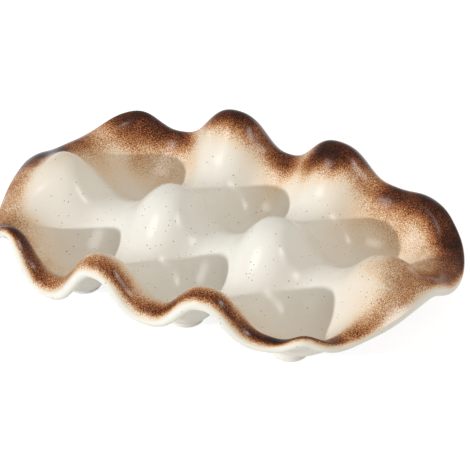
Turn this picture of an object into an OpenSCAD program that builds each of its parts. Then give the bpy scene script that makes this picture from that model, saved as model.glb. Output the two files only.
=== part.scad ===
// Egg tray of glazed stoneware: two rows of three cups pressed into one wavy sheet with a rolled lip.
// Millimetres, Z up, the six flat feet stand on Z = 0, the long side lies along X, the front is at -Y.

/* [Cups] */
// Distance between neighbouring cups in a row
cup_pitch = 58; // [54:0.5:64]
// Distance between the long crests of the front rim, the middle ridge and the back rim
row_pitch = 72; // [66:0.5:78]
// Depth of the cup floors below the saddles
cup_depth = 18.5; // [16:0.5:21]
// How much shallower the front right cup is than the others
front_right_lift = 3; // [0:0.5:4]
// Breadth of the cup floors and crests, where 0 is a plain wave
fullness_ratio = 0.28; // [0.1:0.02:0.34]

/* [Crests] */
// Height of the inner crests of the middle ridge above the saddles
ridge_crest = 19; // [15:0.5:22]
// Height of the outer crests of the middle ridge above the saddles
end_crest = 17.5; // [13:0.5:20]
// Height of the inner crests of the long rims above the saddles
side_crest = 24.5; // [18:0.5:27]
// Height of the front left corner crest above the saddles
front_left_crest = 26; // [18:0.5:28]
// Height of the back left corner crest above the saddles
back_left_crest = 18; // [14:0.5:26]
// Height of the front right corner crest above the saddles
front_right_crest = 26; // [18:0.5:28]
// Height of the back right corner crest above the saddles
back_right_crest = 14.5; // [12:0.5:24]

/* [Dips] */
// Height of the long rims beside the middle cups above the saddles
middle_dip = 7; // [2:0.5:10]
// Height of the front rim beside the left cup above the saddles
front_left_dip = 0.5; // [-2:0.5:10]
// Height of the back rim beside the left cup above the saddles
back_left_dip = 4.5; // [-2:0.5:10]
// Height of the front rim beside the right cup above the saddles
front_right_dip = 5.5; // [-2:0.5:10]
// Height of the back rim beside the right cup above the saddles
back_right_dip = 9.5; // [-2:0.5:12]
// Height of the end rims on the middle ridge above the saddles
end_rim = 9; // [3:0.5:12]
// Height of the end rim behind the front left cup above the saddles
front_left_rim = 3.5; // [-3:0.5:7]
// Height of the end rim behind the back left cup above the saddles
back_left_rim = 1; // [-3:0.5:7]
// Height of the end rim behind the front right cup above the saddles
front_right_rim = 5.5; // [-3:0.5:7]
// Height of the end rim behind the back right cup above the saddles
back_right_rim = -2; // [-3:0.5:7]

/* [Outline] */
// Distance from the middle of the left cups to the left end
left_margin = 55.5; // [53:0.5:60]
// Distance from the middle of the right cups to the right end
right_margin = 55; // [53:0.5:60]
// Distance from the middle of the end cups to the outer crests of the middle ridge
end_crest_offset = 32; // [30:0.5:33.5]
// Overhang of the front rim past its crests
front_overhang = 5.4; // [3:0.2:7]
// Overhang of the back rim past its crests
back_overhang = 3.8; // [3:0.2:7]
// Lean of the left end to the right for each millimetre of depth
left_skew_ratio = -0.1; // [-0.12:0.01:0.2]
// Lean of the right end to the right for each millimetre of depth
right_skew_ratio = 0.16; // [-0.1:0.01:0.2]
// Squareness of the front left corner, where 2 is an ellipse
front_left_exponent = 3.1; // [2.2:0.05:3.2]
// Squareness of the back left corner, where 2 is an ellipse
back_left_exponent = 2.55; // [2.2:0.05:3.2]
// Squareness of the front right corner, where 2 is an ellipse
front_right_exponent = 2.3; // [2.2:0.05:3.2]
// Squareness of the back right corner, where 2 is an ellipse
back_right_exponent = 3; // [2.2:0.05:3.2]

/* [Wall and lip] */
// Thickness of the glazed sheet
wall = 5.2; // [4:0.2:6]
// Width of the strip along the edge that rolls down
lip_width = 8.5; // [8:0.5:11]
// How far the edge rolls down below the wave
lip_drop = 4.5; // [2.5:0.25:5]

/* [Glaze] */
// Thickness of the cream coat
cream_coat = 0.6; // [0.4:0.1:0.8]
// Thickness of the brown coat on the lip
brown_coat = 0.4; // [0.3:0.1:0.6]
// Width of the brown coat, measured in from the edge
brown_band = 14; // [12:0.5:16]

/* [Feet] */
// Radius of the flat round foot under each cup
foot_radius = 9; // [6:0.5:12]
// Height of the feet below the cup floors
foot_height = 1.2; // [0.8:0.1:2.5]

/* [Hidden] */

clay_colour = [0.84, 0.82, 0.78];
cream_colour = [0.93, 0.91, 0.86];
brown_colour = [0.30, 0.18, 0.11];

// Cells of the sheet inside the brown band, rings across the band and steps round the edge
columns = 34;
rows = 20;
rings = 4;
edge_steps = 4;
foot_facets = 64;

half_row = row_pitch / 2;
saddle_z = foot_height + wall - cream_coat + cup_depth;
bead = wall / 2;
crest_taper = 4;
lip_share = 0.6;
probe = 0.25;
// Clearance that keeps the solids of the coats from sharing faces
coat_gap = 0.02;
half_turn = 180;
middle_skew_ratio = (left_skew_ratio + right_skew_ratio) / 2;
skew_swing_ratio = (right_skew_ratio - left_skew_ratio) / 2;

// Left corners, then right corners, each with the front one first
crests = [[front_left_crest, back_left_crest], [front_right_crest, back_right_crest]];
dips = [[front_left_dip, back_left_dip], [front_right_dip, back_right_dip]];
low_rims = [[front_left_rim, back_left_rim], [front_right_rim, back_right_rim]];
floor_lifts = [[0, 0], [front_right_lift, 0]];
exponents = [[front_left_exponent, back_left_exponent], [front_right_exponent, back_right_exponent]];

// Value that belongs to the corner a point lies in
function corner(x, y, values) =
    let (side = values[x < 0 ? 0 : 1])
    side[y < 0 ? 0 : 1];

// Step from 0 to 1 that starts and ends level
function ease(t) =
    let (a = half_turn * min(1, max(0, t)))
    0.5 - 0.5 * cos(a) * (1 + fullness_ratio * pow(sin(a), 2));

function blend(a, b, t) = a + (b - a) * t;

// Height along a profile that is level at each station
function along(x, stations, heights, i = 0) =
    i + 2 >= len(stations) || x < stations[i + 1]
        ? blend(heights[i], heights[i + 1], ease((x - stations[i]) / (stations[i + 1] - stations[i])))
        : along(x, stations, heights, i + 1);

function reach(x) = cup_pitch + (x < 0 ? left_margin : right_margin);
function half_width(y) = row_pitch + (y < 0 ? front_overhang : back_overhang);
function level_end(x) = reach(x) - lip_share * lip_width;

// Middle ridge, cup row and long rim, each as a height along X
function ridge_line(x) =
    along(
        abs(x),
        [0, cup_pitch / 2, cup_pitch, cup_pitch + end_crest_offset, level_end(x)],
        [0, ridge_crest, 0, end_crest, end_rim]
    );
function cup_line(x, y) =
    along(
        abs(x),
        [0, cup_pitch / 2, cup_pitch, level_end(x)],
        [-cup_depth, 0, corner(x, y, floor_lifts) - cup_depth, corner(x, y, low_rims)]
    );
function rim_line(x, y) =
    let (crest = corner(x, y, crests), dip = corner(x, y, dips))
    along(
        abs(x),
        [0, cup_pitch / 2, cup_pitch, 1.5 * cup_pitch, level_end(x)],
        [middle_dip, side_crest, dip, crest, crest - crest_taper]
    );

// Wave of the sheet, lofted across Y through the three lines
function wave(x, y) =
    let (v = abs(y))
    v < half_row
        ? blend(ridge_line(x), cup_line(x, y), ease(v / half_row))
        : blend(cup_line(x, y), rim_line(x, y), ease((v - half_row) / half_row));

// Superellipse size of the outline through a point, 1 on the edge of the tray
function lean(x, y) = middle_skew_ratio + skew_swing_ratio * x / max(probe, norm([x, y]));
function girth(x, y) =
    let (u = x - lean(x, y) * y, n = corner(u, y, exponents))
    pow(pow(abs(u) / reach(u), n) + pow(abs(y) / half_width(y), n), 1 / n);

// Rate at which the girth grows outward across the sheet
function girth_slope(x, y) =
    [
        (girth(x + probe, y) - girth(x - probe, y)) / (2 * probe),
        (girth(x, y + probe) - girth(x, y - probe)) / (2 * probe)
    ];

// Distance of a point in from the edge
function inset(x, y) = (1 - girth(x, y)) / norm(girth_slope(x, y));

// Upper face of the tray
function face_z(x, y) =
    let (roll = max(0, 1 - inset(x, y) / lip_width))
    saddle_z + wave(x, y) - lip_drop * roll * roll;

function unit(v) = v / norm(v);

function face_normal(x, y) =
    unit([
        face_z(x - probe, y) - face_z(x + probe, y),
        face_z(x, y - probe) - face_z(x, y + probe),
        2 * probe
    ]);

// Point of the edge in the direction of a square's point, for squares of half side 1
function edge_spot(a, b) =
    let (wide = half_width(b) * b, d = [reach(a) * a + middle_skew_ratio * wide, wide])
    d / girth(d.x, d.y);

// Plan point at an inset from the edge, or a share of the way out to the brown band
function plan_spot(a, b, share, depth) =
    let (spot = edge_spot(a, b), slope = norm(girth_slope(spot.x, spot.y)))
    spot * share * (1 - depth * slope);

// Grid cell of the k-th point round the border of the grid
loop_count = 2 * (columns + rows);
function border_cell(k) =
    k < columns ? [k, 0]
    : k < columns + rows ? [columns, k - columns]
    : k < 2 * columns + rows ? [2 * columns + rows - k, rows]
    : [0, loop_count - k];
function square_point(c) = [2 * c.x / columns - 1, 2 * c.y / rows - 1];

grid_count = (columns + 1) * (rows + 1);
sheet_count = grid_count + rings * loop_count;

grid_plan = [
    for (j = [0 : rows], i = [0 : columns])
        let (s = square_point([i, j]), share = max(abs(s.x), abs(s.y)))
        share == 0 ? [0, 0] : plan_spot(s.x, s.y, share, brown_band)
];
ring_plan = [
    for (r = [1 : rings], k = [0 : loop_count - 1])
        let (s = square_point(border_cell(k)))
        plan_spot(s.x, s.y, 1, brown_band * (1 - r / rings))
];
plan = concat(grid_plan, ring_plan);

face_points = [for (q = plan) [q.x, q.y, face_z(q.x, q.y)]];
face_normals = [for (q = plan) face_normal(q.x, q.y)];

// Points of the sheet at a depth under the upper face
function sheet(depth) = [for (i = [0 : sheet_count - 1]) face_points[i] - depth * face_normals[i]];

// Points of one ring round the rolled edge, turned from the upper face to the underside
first_edge = sheet_count - loop_count;
function bead_ring(radius, step) =
    let (turn = half_turn * step / edge_steps)
    [
        for (i = [first_edge : sheet_count - 1])
            let (
                up = face_normals[i],
                slope = girth_slope(plan[i].x, plan[i].y),
                flat_out = unit([slope.x, slope.y, 0]),
                out = unit(flat_out - (flat_out * up) * up)
            )
            face_points[i] - bead * up + radius * (cos(turn) * up + sin(turn) * out)
    ];
function bead_rings(radius, last) = [for (s = [1 : last]) each bead_ring(radius, s)];

// Indices of a ring of a sheet, where ring 0 is the border of the grid
function sheet_loop(base, r) = [
    for (k = [0 : loop_count - 1])
        let (c = border_cell(k))
        r == 0 ? base + c.y * (columns + 1) + c.x : base + grid_count + (r - 1) * loop_count + k
];
function sheet_loops(base) = [for (r = [0 : rings]) sheet_loop(base, r)];

// Points of the strip along the edge that the brown coat covers, at a depth under the upper face
function band(depth) = [
    for (l = sheet_loops(0)) each [for (i = l) face_points[i] - depth * face_normals[i]]
];

function plain_loops(base, count) = [
    for (s = [0 : count - 1]) [for (k = [0 : loop_count - 1]) base + s * loop_count + k]
];
function turned(list) = [for (i = [len(list) - 1 : -1 : 0]) list[i]];

// Triangles between loops that follow one another outward, or inward along the same diagonals
function strip(a, b, inward = false) = [
    for (k = [0 : loop_count - 1])
        let (n = (k + 1) % loop_count)
        each inward ? [[a[k], a[n], b[k]], [a[n], b[n], b[k]]] : [[a[k], a[n], b[n]], [a[k], b[n], b[k]]]
];
function skin(loops, inward = false) = [
    for (i = [0 : len(loops) - 2]) each strip(loops[i], loops[i + 1], inward)
];
function closed_skin(out_loops, in_loops) = concat(
    skin(out_loops),
    strip(out_loops[len(out_loops) - 1], in_loops[0]),
    skin(in_loops, true)
);

// Triangles of the grid inside the loops
function grid_faces(base, upward) = [
    for (j = [0 : rows - 1], i = [0 : columns - 1])
        let (a = base + j * (columns + 1) + i, b = a + 1, d = a + columns + 1, c = d + 1)
        each upward ? [[a, c, b], [a, d, c]] : [[a, b, c], [a, c, d]]
];

// Fired clay: the wavy sheet under the glaze, with a flat round foot under each cup
module stoneware_body() {
    turn_base = sheet_count;
    under_base = turn_base + (edge_steps - 1) * loop_count;
    color(clay_colour)
    union() {
        polyhedron(
            points = concat(
                sheet(cream_coat),
                bead_rings(bead - cream_coat, edge_steps - 1),
                sheet(wall - cream_coat)
            ),
            faces = concat(
                grid_faces(0, true),
                closed_skin(
                    concat(sheet_loops(0), plain_loops(turn_base, edge_steps - 1)),
                    turned(sheet_loops(under_base))
                ),
                grid_faces(under_base, false)
            ),
            convexity = 12
        );
        for (i = [-1 : 1], j = [-1, 1])
            let (lift = i == 0 ? 0 : corner(i, j, floor_lifts))
            translate([i * cup_pitch, j * half_row, 0])
            cylinder(r = foot_radius, h = foot_height + bead + lift, $fn = foot_facets);
    }
}

// Pale coat over the upper face, wrapped round the edge and ended under it
module cream_glaze() {
    outer_turn = sheet_count;
    inner_base = outer_turn + edge_steps * loop_count;
    inner_turn = inner_base + sheet_count;
    color(cream_colour)
    polyhedron(
        points = concat(
            sheet(0),
            bead_rings(bead, edge_steps),
            sheet(cream_coat - coat_gap),
            bead_rings(bead - cream_coat + coat_gap, edge_steps)
        ),
        faces = concat(
            grid_faces(0, true),
            closed_skin(
                concat(sheet_loops(0), plain_loops(outer_turn, edge_steps)),
                concat(turned(plain_loops(inner_turn, edge_steps)), turned(sheet_loops(inner_base)))
            ),
            grid_faces(inner_base, false)
        ),
        convexity = 12
    );
}

// Dark coat sprayed over the cream one along the lip
module brown_rim_glaze() {
    count = rings + 1;
    outer = plain_loops(0, count);
    inner = plain_loops(count * loop_count, count);
    color(brown_colour)
    polyhedron(
        points = concat(band(-brown_coat), band(-coat_gap)),
        faces = concat(closed_skin(outer, turned(inner)), strip(inner[0], outer[0])),
        convexity = 12
    );
}

stoneware_body();
cream_glaze();
brown_rim_glaze();
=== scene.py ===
"""Wavy stoneware egg tray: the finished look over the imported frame, in metres with +Z up."""

import math

import bpy
import numpy as np
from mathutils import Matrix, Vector


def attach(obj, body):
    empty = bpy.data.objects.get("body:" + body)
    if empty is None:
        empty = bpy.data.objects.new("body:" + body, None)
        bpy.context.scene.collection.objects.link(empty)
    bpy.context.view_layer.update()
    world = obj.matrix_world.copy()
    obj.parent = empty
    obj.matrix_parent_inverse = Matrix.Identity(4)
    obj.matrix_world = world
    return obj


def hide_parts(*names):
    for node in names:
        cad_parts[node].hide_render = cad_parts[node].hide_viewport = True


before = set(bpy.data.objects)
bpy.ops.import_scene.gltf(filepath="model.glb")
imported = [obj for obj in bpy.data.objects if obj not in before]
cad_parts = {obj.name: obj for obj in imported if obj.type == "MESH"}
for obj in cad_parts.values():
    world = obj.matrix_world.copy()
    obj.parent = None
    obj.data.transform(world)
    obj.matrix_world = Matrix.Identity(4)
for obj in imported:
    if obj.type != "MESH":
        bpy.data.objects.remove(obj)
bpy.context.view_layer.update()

MM = 0.001

# Sizes of the tray in millimetres, and its ratios, the same as in the part's source.
CUP_PITCH = 58.0
ROW_PITCH = 72.0
CUP_DEPTH = 18.5
FULLNESS = 0.28
RIDGE_CREST = 19.0
END_CREST = 17.5
END_CREST_OFFSET = 32.0
SIDE_CREST = 24.5
MIDDLE_DIP = 7.0
END_RIM = 9.0
CREST_TAPER = 4.0
LEFT_MARGIN = 55.5
RIGHT_MARGIN = 55.0
FRONT_OVERHANG = 5.4
BACK_OVERHANG = 3.8
LEFT_SKEW = -0.1
RIGHT_SKEW = 0.16
# Crests, dips, rims, lifts of the cup floor and exponents of the outline at the corners: front
# left, back left, front right, back right.
CORNER_CRESTS = (26.0, 18.0, 26.0, 14.5)
CORNER_DIPS = (0.5, 4.5, 5.5, 9.5)
CORNER_RIMS = (3.5, 1.0, 5.5, -2.0)
CORNER_LIFTS = (0.0, 0.0, 3.0, 0.0)
CORNER_EXPONENTS = (3.1, 2.55, 2.3, 3.0)
WALL = 5.2
LIP_WIDTH = 8.5
LIP_DROP = 4.5
LIP_SHARE = 0.6
CREAM_COAT = 0.6
BROWN_COAT = 0.4
BROWN_BAND = 14.0
COAT_GAP = 0.02
FOOT_RADIUS = 9.0
FOOT_HEIGHT = 1.2

HALF_PITCH = CUP_PITCH / 2
HALF_ROW = ROW_PITCH / 2
SADDLE = FOOT_HEIGHT + WALL - CREAM_COAT + CUP_DEPTH
BEAD = WALL / 2
MEAN_SKEW = (LEFT_SKEW + RIGHT_SKEW) / 2
SKEW_SWING = (RIGHT_SKEW - LEFT_SKEW) / 2

# Step over which slopes are taken, and the least number that is divided by.
PROBE = 0.25
TINY = 1e-9

# Cells of the sheet inside the brown band, loops across the band and steps round the bead.
COLUMNS = 190
ROWS = 120
BAND_LOOPS = 14
BEAD_STEPS = 8

# Rounding of a foot's lower edge in millimetres, its steps, and the sides of a foot.
FOOT_ROUND = 0.35
FOOT_ROUND_STEPS = 3
FOOT_SIDES = 96

# Millimetres within which border points are welded, and within which a place counts as met.
WELD = 0.005
SLACK = 0.05

# Thickness of the sprayed coat at its two borders, as a share of the full one.
THIN_BORDER = 0.03

# Angle in degrees up to which neighbouring faces are shaded as one.
SMOOTH_ANGLE = 40


# Form of the sheet


def corner_value(x, y, values):
    """Value of the corner that a point lies towards."""
    front = np.where(x < 0, values[0], values[2])
    back = np.where(x < 0, values[1], values[3])
    return np.where(y < 0, front, back)


def ease(t):
    """Step from 0 to 1 that starts and ends level."""
    a = np.pi * np.clip(t, 0, 1)
    return 0.5 - 0.5 * np.cos(a) * (1 + FULLNESS * np.sin(a) ** 2)


def along(x, stations, heights):
    """Height along a profile that is level at each station."""
    z = np.zeros_like(x) + heights[0]
    for i in range(len(stations) - 1):
        step = ease((x - stations[i]) / (stations[i + 1] - stations[i]))
        z = np.where(x >= stations[i], heights[i] + (heights[i + 1] - heights[i]) * step, z)
    return z


def reach(x):
    """Distance from the middle to the end on a point's side."""
    return CUP_PITCH + np.where(x < 0, LEFT_MARGIN, RIGHT_MARGIN)


def half_width(y):
    """Distance from the middle to the long rim on a point's side."""
    return ROW_PITCH + np.where(y < 0, FRONT_OVERHANG, BACK_OVERHANG)


def wave(x, y):
    """Middle ridge, cup row and long rim, lofted across the tray."""
    u, v, end = np.abs(x), np.abs(y), reach(x) - LIP_SHARE * LIP_WIDTH
    crest, dip = corner_value(x, y, CORNER_CRESTS), corner_value(x, y, CORNER_DIPS)
    end_floor = corner_value(x, y, CORNER_LIFTS) - CUP_DEPTH
    ridge = along(
        u,
        [0, HALF_PITCH, CUP_PITCH, CUP_PITCH + END_CREST_OFFSET, end],
        [0, RIDGE_CREST, 0, END_CREST, END_RIM],
    )
    cups = along(
        u,
        [0, HALF_PITCH, CUP_PITCH, end],
        [-CUP_DEPTH, 0, end_floor, corner_value(x, y, CORNER_RIMS)],
    )
    rim = along(
        u,
        [0, HALF_PITCH, CUP_PITCH, CUP_PITCH + HALF_PITCH, end],
        [MIDDLE_DIP, SIDE_CREST, dip, crest, crest - CREST_TAPER],
    )
    inner, outer = ease(v / HALF_ROW), ease((v - HALF_ROW) / HALF_ROW)
    return np.where(
        v < HALF_ROW, ridge + (cups - ridge) * inner, cups + (rim - cups) * outer
    )


def girth(x, y):
    """Superellipse size of the outline through a point, 1 on the edge."""
    u = x - (MEAN_SKEW + SKEW_SWING * x / np.maximum(PROBE, np.hypot(x, y))) * y
    n = corner_value(u, y, CORNER_EXPONENTS)
    return ((np.abs(u) / reach(u)) ** n + (np.abs(y) / half_width(y)) ** n) ** (1 / n)


def girth_slope(x, y):
    """How fast the girth grows along x and along y."""
    return (
        (girth(x + PROBE, y) - girth(x - PROBE, y)) / (2 * PROBE),
        (girth(x, y + PROBE) - girth(x, y - PROBE)) / (2 * PROBE),
    )


def inset(x, y):
    """Distance of a point in from the edge."""
    return (1 - girth(x, y)) / np.maximum(TINY, np.hypot(*girth_slope(x, y)))


def face_z(x, y):
    """Height of the upper face, rolled down along the lip."""
    roll = np.clip(1 - inset(x, y) / LIP_WIDTH, 0, None)
    return SADDLE + wave(x, y) - LIP_DROP * roll**2


def unit(v):
    return v / np.linalg.norm(v, axis=-1, keepdims=True)


def face_normal(x, y):
    """Direction square to the upper face, upwards."""
    slope_x = face_z(x - PROBE, y) - face_z(x + PROBE, y)
    slope_y = face_z(x, y - PROBE) - face_z(x, y + PROBE)
    return unit(np.stack([slope_x, slope_y, np.full_like(x, 2 * PROBE)], -1))


def plan_spot(a, b, share, depth):
    """Plan point in the direction of a square's point, at a share of the way to an inset."""
    dy = half_width(b) * b
    dx = reach(a) * a + MEAN_SKEW * dy
    size = np.maximum(TINY, girth(dx, dy))
    x, y = dx / size, dy / size
    scale = share * (1 - depth * np.hypot(*girth_slope(x, y)))
    return x * scale, y * scale


def sheet_points(x, y, depth):
    """Points under the upper face by a depth, square to it."""
    top = np.stack([x, y, face_z(x, y)], -1)
    return top - depth * face_normal(x, y)


def bead_points(x, y, radius, turn):
    """Points round the rolled edge, turned from the upper face to the underside."""
    up = face_normal(x, y)
    gx, gy = girth_slope(x, y)
    flat = unit(np.stack([gx, gy, np.zeros_like(gx)], -1))
    out = unit(flat - np.sum(flat * up, -1, keepdims=True) * up)
    return sheet_points(x, y, BEAD) + radius * (math.cos(turn) * up + math.sin(turn) * out)


# Helpers for the modelling


def pick(*pieces):
    """Selects only these pieces, the first one active."""
    bpy.ops.object.select_all(action="DESELECT")
    for piece in pieces:
        piece.select_set(True)
    if pieces:
        bpy.context.view_layer.objects.active = pieces[0]


def mode(name):
    bpy.ops.object.mode_set(mode=name)


def take(mesh, name):
    """Array of what the vertices carry under a name, such as their position in metres."""
    carried = mesh.attributes[name]
    wide = carried.data_type == "FLOAT_VECTOR"
    values = np.zeros(len(mesh.vertices) * (3 if wide else 1), dtype=np.float32)
    carried.data.foreach_get("vector" if wide else "value", values)
    return values.reshape(-1, 3).astype(float) if wide else values.astype(float)


def give(mesh, name, values):
    """Has the vertices carry numbers, or rows of three, under a name."""
    wide = np.ndim(values) == 2
    if name not in mesh.attributes:
        mesh.attributes.new(name, "FLOAT_VECTOR" if wide else "FLOAT", "POINT")
    flat = np.asarray(values, dtype=np.float32).ravel()
    mesh.attributes[name].data.foreach_set("vector" if wide else "value", flat)
    mesh.update()


def chosen(mesh):
    """Which vertices are selected."""
    picked = np.zeros(len(mesh.vertices), dtype=bool)
    mesh.vertices.foreach_get("select", picked)
    return picked


def pulled_sheet(name, depth, radius, steps):
    """A flat grid pulled to the tray's form, its border extruded over the band and round the edge.

    The square point each vertex came from, its plan point and its distance from the edge stay on
    the mesh.
    """
    pick()
    bpy.ops.mesh.primitive_grid_add(x_subdivisions=COLUMNS, y_subdivisions=ROWS, size=2)
    piece = bpy.context.object
    mesh = piece.data
    piece.name = name
    mesh.name = name
    square = take(mesh, "position")
    share = np.maximum(np.abs(square[:, 0]), np.abs(square[:, 1]))
    x, y = plan_spot(square[:, 0], square[:, 1], share, BROWN_BAND)
    give(mesh, "square", square)
    give(mesh, "plan", np.stack([x, y, np.zeros_like(x)], -1))
    give(mesh, "rim", inset(x, y))
    give(mesh, "position", sheet_points(x, y, depth) * MM)

    loops = [(BROWN_BAND * (1 - i / BAND_LOOPS), 0.0) for i in range(1, BAND_LOOPS + 1)]
    loops += [(0.0, math.pi * i / BEAD_STEPS) for i in range(1, steps + 1)]
    mode("EDIT")
    bpy.ops.mesh.select_mode(type="VERT")
    bpy.ops.mesh.select_all(action="DESELECT")
    bpy.ops.mesh.select_non_manifold()
    for band_depth, turn in loops:
        bpy.ops.mesh.extrude_edges_move()
        mode("OBJECT")
        picked = chosen(mesh)
        square = take(mesh, "square")[picked]
        x, y = plan_spot(square[:, 0], square[:, 1], 1.0, band_depth)
        pulled = bead_points(x, y, radius, turn) if turn else sheet_points(x, y, depth)
        plan, rim, spots = take(mesh, "plan"), take(mesh, "rim"), take(mesh, "position")
        plan[picked, 0], plan[picked, 1] = x, y
        rim[picked] = band_depth - radius * turn
        spots[picked] = pulled * MM
        give(mesh, "plan", plan)
        give(mesh, "rim", rim)
        give(mesh, "position", spots)
        mode("EDIT")
    mode("OBJECT")
    return piece


def apply_modifier(piece, kind, **settings):
    pick(piece)
    made = piece.modifiers.new(kind.lower(), kind)
    for key, value in settings.items():
        setattr(made, key, value)
    bpy.ops.object.modifier_apply(modifier=made.name)


def smooth(piece):
    pick(piece)
    bpy.ops.object.shade_smooth_by_angle(angle=math.radians(SMOOTH_ANGLE))


# Sprayed brown: how much of it lies on each place of the upper face

# Places round the rim, in round numbers. Each gives its turn in degrees from the right end over the
# back, how dense the spray is along the edge, how many millimetres in it stays dense, the thin mist
# past that, and how many millimetres it runs over the rolled edge, which was wiped clean along the
# front and the right.
SPRAY = (
    (0, 0.1, 12.5, 0.4, 0.5),  # right end
    (20, 0.3, 13, 0.4, 2),
    (42, 0.5, 11.5, 0.35, 9),  # back right corner
    (56, 0.6, 14, 0.25, 9),
    (64, 0.3, 16.5, 0.15, 9),
    (70, 0.8, 18.5, 0.1, 9),  # right back crest
    (76, 0.85, 19, 0.1, 9),
    (83, 0.3, 16, 0.1, 9),
    (90, 0.6, 14.5, 0.2, 9),  # back dip
    (98, 0.6, 14, 0.1, 9),
    (105, 0.9, 15, 0.05, 9),  # left back crest
    (110, 0.85, 15, 0.05, 9),
    (116, 0.25, 15, 0.1, 9),
    (121, 0.6, 13, 0.25, 9),
    (127, 0.6, 11, 0.3, 9),
    (135, 0.6, 9.5, 0.3, 9),  # back left corner
    (142, 0.2, 11, 0.2, 9),
    (152, 0.3, 12, 0.3, 9),
    (168, 0.95, 12.5, 0.3, 9),
    (178, 0.7, 10.5, 0.15, 9),  # left end
    (188, 0.35, 10, 0.1, 9),
    (200, 0.25, 11, 0.05, 6),
    (210, 0.25, 12, 0.25, 5),
    (222, 0.55, 10, 0.4, 5),  # front left corner
    (238, 0.5, 8, 0.2, 2),
    (248, 0.25, 7.5, 0.1, 0.5),
    (256, 0.6, 8, 0.1, 1),  # left front crest
    (264, 0.5, 7, 0.2, 1),
    (271, 0.75, 7, 0.15, 1),  # front dip
    (284, 0.75, 6.5, 0.05, 0.5),  # right front crest
    (294, 0.7, 7, 0.15, 1),
    (303, 0.85, 7.5, 0.15, 2),
    (314, 0.85, 7.5, 0.15, 6),  # front right lip
    (328, 0.4, 8, 0.1, 3),
    (345, 0.25, 10.5, 0.15, 1),
)
# Millimetres over which the dense spray fades, the mist thins, the wipe ends and the run over ends.
DENSE_FADE = 1.9
MIST_REACH = 30
WIPE_FADE = 4.5
RUN_OVER = 9


def smooth_step(t):
    t = np.clip(t, 0, 1)
    return t * t * (3 - 2 * t)


def spray_at(x, y, rim):
    """Share of brown glaze from 0 to 1 at plan points, and at a distance in from the edge."""
    turn = np.degrees(np.arctan2(y / half_width(y), x / reach(x))) % 360
    places = np.array(SPRAY + ((360, *SPRAY[0][1:]),))
    last = np.clip(np.searchsorted(places[:, 0], turn, side="right") - 1, 0, len(SPRAY) - 1)
    here, after = places[last], places[last + 1]
    step = smooth_step((turn - here[:, 0]) / (after[:, 0] - here[:, 0]))
    _, edge, depth, thin, over = (here + (after - here) * step[:, None]).T

    inward = np.maximum(rim, 0)
    dense = edge * (0.5 - 0.5 * np.tanh((inward - depth) / (2 * DENSE_FADE)))
    mist = thin * np.exp(-((inward / MIST_REACH) ** 2))
    left_on = smooth_step((rim + over) / WIPE_FADE)
    return np.clip((dense + mist) * left_on * np.clip(1 + rim / RUN_OVER, 0, 1), 0, 1)


def spray(mesh):
    """Has a coat carry how much brown lies on it."""
    plan = take(mesh, "plan")
    give(mesh, "spray", spray_at(plan[:, 0], plan[:, 1], take(mesh, "rim")))


# Pieces


def make_foot():
    """One ground foot in the middle of the plan, high enough to end inside the clay."""
    tall = (FOOT_HEIGHT + BEAD) * MM
    pick()
    bpy.ops.mesh.primitive_cylinder_add(
        vertices=FOOT_SIDES, radius=FOOT_RADIUS * MM, depth=tall, location=(0, 0, tall / 2)
    )
    foot = bpy.context.object
    bpy.ops.object.transform_apply(location=True, rotation=True, scale=True)
    mode("EDIT")
    bpy.ops.mesh.select_all(action="DESELECT")
    mode("OBJECT")
    for edge in foot.data.edges:
        edge.select = max(foot.data.vertices[v].co.z for v in edge.vertices) < SLACK * MM
    mode("EDIT")
    bpy.ops.mesh.select_mode(type="EDGE")
    bpy.ops.mesh.bevel(offset=FOOT_ROUND * MM, segments=FOOT_ROUND_STEPS, affect="EDGES")
    bpy.ops.mesh.select_mode(type="VERT")
    mode("OBJECT")
    return foot


def make_feet():
    """Copies of one foot under the six cups, pulled up where a cup is shallower."""
    foot = make_foot()
    feet = []
    for i in (-1, 0, 1):
        for j in (-1, 1):
            copy = foot.copy()
            copy.data = foot.data.copy()
            bpy.context.collection.objects.link(copy)
            spots = take(copy.data, "position")
            if i:
                spots[spots[:, 2] > FOOT_HEIGHT * MM, 2] += corner_value(i, j, CORNER_LIFTS) * MM
            spots += np.array((i * CUP_PITCH, j * HALF_ROW, 0)) * MM
            give(copy.data, "position", spots)
            feet.append(copy)
    bpy.data.objects.remove(foot)
    pick(*feet)
    bpy.ops.object.join()
    return feet[0]


def make_body():
    """Fired clay: the sheet under the glaze, closed by its underside, on six ground feet."""
    body = pulled_sheet("pressed_clay_tray", CREAM_COAT, BEAD - CREAM_COAT, BEAD_STEPS)
    under = pulled_sheet("clay_underside", WALL - CREAM_COAT, 0, 0)
    mode("EDIT")
    bpy.ops.mesh.select_all(action="SELECT")
    bpy.ops.mesh.flip_normals()
    mode("OBJECT")
    pick(body, under)
    bpy.ops.object.join()
    mode("EDIT")
    bpy.ops.mesh.select_all(action="SELECT")
    bpy.ops.mesh.remove_doubles(threshold=WELD * MM)
    mode("OBJECT")
    feet = make_feet()
    apply_modifier(body, "BOOLEAN", object=feet, operation="UNION", solver="EXACT")
    bpy.data.objects.remove(feet)
    smooth(body)
    return body


def make_cream():
    """Pale coat over the upper face, rolled round the edge and ended under it."""
    cream = pulled_sheet("poured_cream_glaze", 0.0, BEAD, BEAD_STEPS)
    spray(cream.data)
    apply_modifier(cream, "SOLIDIFY", thickness=CREAM_COAT * MM, offset=-1, use_even_offset=True)
    smooth(cream)
    return cream


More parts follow.
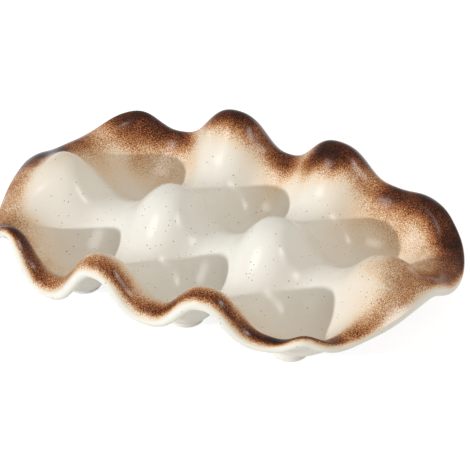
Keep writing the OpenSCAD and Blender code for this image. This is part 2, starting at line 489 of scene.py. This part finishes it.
def make_brown():
    """Sprayed coat over the cream one along the edge, thin at both borders."""
    brown = pulled_sheet("sprayed_brown_glaze", -COAT_GAP, BEAD, 0)
    mesh = brown.data
    rim = take(mesh, "rim")
    for polygon in mesh.polygons:
        polygon.select = bool(max(rim[v] for v in polygon.vertices) > BROWN_BAND + SLACK)
    mode("EDIT")
    bpy.ops.mesh.select_mode(type="FACE")
    bpy.ops.mesh.delete(type="FACE")
    bpy.ops.mesh.select_mode(type="VERT")
    mode("OBJECT")
    spray(mesh)
    build_up = brown.vertex_groups.new(name="build_up")
    swell = np.sin(np.pi * np.clip(take(mesh, "rim") / BROWN_BAND, 0, 1)) ** 2
    for i, share in enumerate(THIN_BORDER + (1 - THIN_BORDER) * swell):
        build_up.add([i], float(share), "REPLACE")
    thickness = (BROWN_COAT - COAT_GAP) * MM
    apply_modifier(brown, "SOLIDIFY", thickness=thickness, offset=1, vertex_group="build_up")
    smooth(brown)
    return brown


# Finishes

# Patterns in millimetres across: droplets of the spray and grains of the clay, both drawn coarser
# than the real ones so that they show, cloudy passes of the spray gun, the cells with at most one
# iron speck each, and the waviness of the melted glaze with its height.
DROPLET = 0.45
GRAIN = 1.11
CLOUD = 14.0
SPECK_CELL = 2.1
SKIN_WAVE = 6.0
SKIN_HEIGHT = 0.25
# How much the clouds count beside the droplets, and how much both shift the spray.
CLOUD_SHARE = 0.45
SHIFT = 1.2
# Spray from which the shift starts, and from which it is full.
SHIFT_START = 0.03
SHIFT_FULL = 0.3
# Share of the cells without a speck, and the largest speck's radius as a share of its cell.
BARE_CELLS = 0.2
SPECK_RADIUS = 0.14


def linear(code):
    """Linear colour of an sRGB hex value."""
    parts = [int(code[i : i + 2], 16) / 255 for i in (1, 3, 5)]
    return tuple(
        c / 12.92 if c <= 0.04045 else ((c + 0.055) / 1.055) ** 2.4 for c in parts
    ) + (1.0,)


def add(tree, kind, inputs=None, stops=(), **settings):
    """Adds a node: inputs are sockets to link or plain values, and stops are a ramp's colours."""
    node = tree.nodes.new(kind)
    for key, value in settings.items():
        setattr(node, key, value)
    for key, value in (inputs or {}).items():
        if isinstance(value, bpy.types.NodeSocket):
            tree.links.new(value, node.inputs[key])
        else:
            node.inputs[key].default_value = value
    for i, (place, code) in enumerate(stops):
        elements = node.color_ramp.elements
        element = elements[i] if i < len(elements) else elements.new(place)
        element.position = place
        element.color = linear(code)
    return node


def new_material(name):
    material = bpy.data.materials.new(name)
    material.use_nodes = True
    material.node_tree.nodes.clear()
    return material, material.node_tree


def glaze_colour(tree, where):
    """Colour of the glazed face: cream with iron specks, under the sprayed brown."""
    sprayed = add(tree, "ShaderNodeAttribute", attribute_name="spray").outputs["Fac"]
    droplets = add(
        tree, "ShaderNodeTexNoise", {"Vector": where, "Scale": 1 / (DROPLET * MM), "Detail": 1.0}
    )
    clouds = add(
        tree, "ShaderNodeTexNoise", {"Vector": where, "Scale": 1 / (CLOUD * MM), "Detail": 2.0}
    )
    both = add(
        tree,
        "ShaderNodeMath",
        {0: clouds.outputs["Fac"], 1: CLOUD_SHARE, 2: droplets.outputs["Fac"]},
        operation="MULTIPLY_ADD",
    )
    mean = (1 + CLOUD_SHARE) / 2
    centred = add(tree, "ShaderNodeMath", {0: both.outputs[0], 1: mean}, operation="SUBTRACT")
    # The noise only shifts places that hold some brown.
    some = add(
        tree,
        "ShaderNodeMapRange",
        {"Value": sprayed, "From Min": SHIFT_START, "From Max": SHIFT_FULL, "To Max": SHIFT},
        interpolation_type="SMOOTHSTEP",
    )
    covered = add(
        tree,
        "ShaderNodeMath",
        {0: centred.outputs[0], 1: some.outputs["Result"], 2: sprayed},
        operation="MULTIPLY_ADD",
    )
    brown = add(
        tree,
        "ShaderNodeValToRGB",
        {"Fac": covered.outputs[0]},
        stops=(
            (0.0, "#EAE9E2"),
            (0.2, "#E2C8A7"),
            (0.4, "#BB8657"),
            (0.6, "#834827"),
            (0.8, "#3F1D0F"),
            (1.0, "#1F0C05"),
        ),
    )
    # Iron specks: balls in the glaze that its face cuts, up to 0.6 mm across, a few to each square
    # centimetre.
    cells = add(
        tree, "ShaderNodeTexVoronoi", {"Vector": where, "Scale": 1 / (SPECK_CELL * MM)}
    )
    chance = add(tree, "ShaderNodeSeparateColor", {"Color": cells.outputs["Color"]})
    radius = add(
        tree,
        "ShaderNodeMapRange",
        {"Value": chance.outputs["Red"], "From Min": BARE_CELLS, "To Max": SPECK_RADIUS},
    )
    speck = add(
        tree,
        "ShaderNodeMath",
        {0: cells.outputs["Distance"], 1: radius.outputs["Result"]},
        operation="LESS_THAN",
    )
    specked = add(
        tree,
        "ShaderNodeMix",
        {"Factor": speck.outputs[0], 6: brown.outputs["Color"], 7: linear("#4C4136")},
        data_type="RGBA",
    )
    return specked.outputs[2]


def melted_glaze(name):
    """Slightly wavy glaze, its sheen weak so that the white room doesn't turn the brown grey."""
    material, tree = new_material(name)
    where = add(tree, "ShaderNodeTexCoord").outputs["Object"]
    swell = add(
        tree, "ShaderNodeTexNoise", {"Vector": where, "Scale": 1 / (SKIN_WAVE * MM), "Detail": 3.0}
    )
    skin = add(
        tree,
        "ShaderNodeBump",
        {"Height": swell.outputs["Fac"], "Strength": 0.35, "Distance": SKIN_HEIGHT * MM},
    )
    shader = add(
        tree,
        "ShaderNodeBsdfPrincipled",
        {
            "Base Color": glaze_colour(tree, where),
            "Normal": skin.outputs["Normal"],
            "Roughness": 0.23,
            "IOR": 1.5,
            "Specular IOR Level": 0.12,
        },
    )
    add(tree, "ShaderNodeOutputMaterial", {"Surface": shader.outputs[0]})
    return material


def cream_glaze():
    """Poured stoneware glaze: pale and melted smooth, with soft glints and iron specks."""
    return melted_glaze("cream_stoneware_glaze")


def brown_glaze():
    """Sprayed iron glaze: dense brown on the crests, a grainy mist of droplets towards the cups."""
    return melted_glaze("sprayed_iron_brown_glaze")


def bare_stoneware():
    """Stoneware clay, fired bare: pale grey and matt with a fine sandy grain."""
    material, tree = new_material("bare_stoneware_clay")
    where = add(tree, "ShaderNodeTexCoord").outputs["Object"]
    grain = add(
        tree, "ShaderNodeTexNoise", {"Vector": where, "Scale": 1 / (GRAIN * MM), "Detail": 4.0}
    )
    colour = add(
        tree,
        "ShaderNodeValToRGB",
        {"Fac": grain.outputs["Fac"]},
        stops=((0.3, "#E9E5DE"), (0.7, "#F3F0EA")),
    )
    shader = add(
        tree,
        "ShaderNodeBsdfPrincipled",
        {"Base Color": colour.outputs["Color"], "Roughness": 0.75},
    )
    add(tree, "ShaderNodeOutputMaterial", {"Surface": shader.outputs[0]})
    return material


body = make_body()
cream = make_cream()
brown = make_brown()
for piece, node, slot, material in (
    (body, "stoneware_body", "stoneware", bare_stoneware()),
    (cream, "cream_glaze", "cream_glaze", cream_glaze()),
    (brown, "brown_rim_glaze", "brown_glaze", brown_glaze()),
):
    piece.data.materials.clear()
    piece.data.materials.append(material)
    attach(piece, "root")
    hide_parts(node)


# Studio

# Side of the floor in metres, and how far it lies under the feet in millimetres.
FLOOR_SIDE = 8.0
FLOOR_GAP = 0.1
# Light of the floor itself, where it is seen.
FLOOR_GLOW = 0.84

# Strength of the room light on average, and how much it grows to the right, back and top.
ROOM_LEVEL = 0.46
ROOM_TILT = (0.28, 0.0, 0.3)

# Camera fitted to the photograph: turn and rise in degrees, width of the picture and focal length
# in pixels, pixels to a millimetre at the target, and the target in millimetres.
CAMERA_TURN = 28.262
CAMERA_RISE = 36.669
PICTURE_WIDTH = 470
FOCAL_LENGTH = 6075.0
PIXEL_SCALE = 2.024
CAMERA_TARGET = (4.813, 6.096, SADDLE)
# Width of the sensor in millimetres, and the nearest and farthest that the camera sees in metres.
SENSOR_WIDTH = 36
CLIP_START = 0.05
CLIP_END = 50


def backdrop(tree, lit, shown):
    """Shader that lights as one and shows as the other: to the camera, off gloss, through glass."""
    rays = add(tree, "ShaderNodeLightPath").outputs
    seen = rays["Is Camera Ray"]
    for other in ("Is Glossy Ray", "Is Transmission Ray"):
        either = {0: seen, 1: rays[other]}
        seen = add(tree, "ShaderNodeMath", either, operation="MAXIMUM").outputs[0]
    both = {0: seen, 1: lit.outputs[0], 2: shown.outputs[0]}
    return add(tree, "ShaderNodeMixShader", both).outputs[0]


def make_floor():
    """Pale table top that reads white where it is seen and keeps the soft shadow."""
    pick()
    bpy.ops.mesh.primitive_plane_add(size=FLOOR_SIDE, location=(0, 0, -FLOOR_GAP * MM))
    floor = bpy.context.object
    floor.name = "pale_floor"
    material, tree = new_material("pale_floor_paper")
    paper = add(tree, "ShaderNodeBsdfDiffuse", {"Color": linear("#EFEFED")})
    faint = add(tree, "ShaderNodeBsdfDiffuse", {"Color": linear("#999A9C")})
    glow = add(
        tree, "ShaderNodeEmission", {"Color": linear("#FFFFFF"), "Strength": FLOOR_GLOW}
    )
    white = add(tree, "ShaderNodeAddShader", {0: faint.outputs[0], 1: glow.outputs[0]})
    add(tree, "ShaderNodeOutputMaterial", {"Surface": backdrop(tree, paper, white)})
    floor.data.materials.append(material)


def make_world():
    """Soft room light, brighter above and on the right, and plain white where it is seen."""
    world = bpy.data.worlds.new("studio")
    bpy.context.scene.world = world
    world.use_nodes = True
    tree = world.node_tree
    tree.nodes.clear()
    way = add(tree, "ShaderNodeTexCoord").outputs["Generated"]
    tilt = add(tree, "ShaderNodeVectorMath", {0: way, 1: ROOM_TILT}, operation="DOT_PRODUCT")
    level = add(
        tree, "ShaderNodeMath", {0: tilt.outputs["Value"], 1: ROOM_LEVEL}, operation="ADD"
    )
    soft = add(
        tree, "ShaderNodeBackground", {"Color": linear("#FFF9F0"), "Strength": level.outputs[0]}
    )
    white = add(tree, "ShaderNodeBackground", {"Color": linear("#FFFFFF"), "Strength": 1.0})
    add(tree, "ShaderNodeOutputWorld", {"Surface": backdrop(tree, soft, white)})


def lamp(kind, name, turn, rise, energy):
    """Lamp that looks at the tray from a metre away, in a direction given in degrees."""
    turn, rise = math.radians(turn), math.radians(rise)
    towards = Vector(
        (math.cos(rise) * math.cos(turn), math.cos(rise) * math.sin(turn), math.sin(rise))
    )
    pick()
    bpy.ops.object.light_add(type=kind, location=towards)
    made = bpy.context.object
    made.name = name
    made.rotation_mode = "QUATERNION"
    made.rotation_quaternion = towards.to_track_quat("Z", "Y")
    made.data.energy = energy
    return made


def make_lamps():
    """A low key lamp from the front left for crisp shadows, and two soft sheets for the glints."""
    key = lamp("SUN", "key_lamp", turn=236, rise=20, energy=2.0)
    key.data.color = linear("#FAFCFF")[:3]
    key.data.angle = math.radians(2)
    key.visible_glossy = False
    left = lamp("AREA", "front_left_glint", turn=242, rise=43, energy=4.2)
    left.data.size = 0.24
    left.visible_diffuse = False
    right = lamp("AREA", "right_glint", turn=0, rise=38, energy=5.4)
    right.data.size = 0.26
    right.visible_diffuse = False


def make_camera():
    """Camera at the photograph's place, looking down on the tray from the front right."""
    turn, rise = math.radians(CAMERA_TURN), math.radians(CAMERA_RISE)
    back = Vector(
        (math.sin(turn) * math.cos(rise), -math.cos(turn) * math.cos(rise), math.sin(rise))
    )
    target = Vector(CAMERA_TARGET) * MM
    pick()
    bpy.ops.object.camera_add(location=target + back * (FOCAL_LENGTH / PIXEL_SCALE * MM))
    camera = bpy.context.object
    camera.rotation_mode = "QUATERNION"
    camera.rotation_quaternion = (-back).to_track_quat("-Z", "Y")
    camera.data.sensor_width = SENSOR_WIDTH
    camera.data.lens = SENSOR_WIDTH * FOCAL_LENGTH / PICTURE_WIDTH
    camera.data.clip_start, camera.data.clip_end = CLIP_START, CLIP_END
    bpy.context.scene.camera = camera


make_floor()
make_world()
make_lamps()
make_camera()
bpy.context.scene.view_settings.view_transform = "Standard"
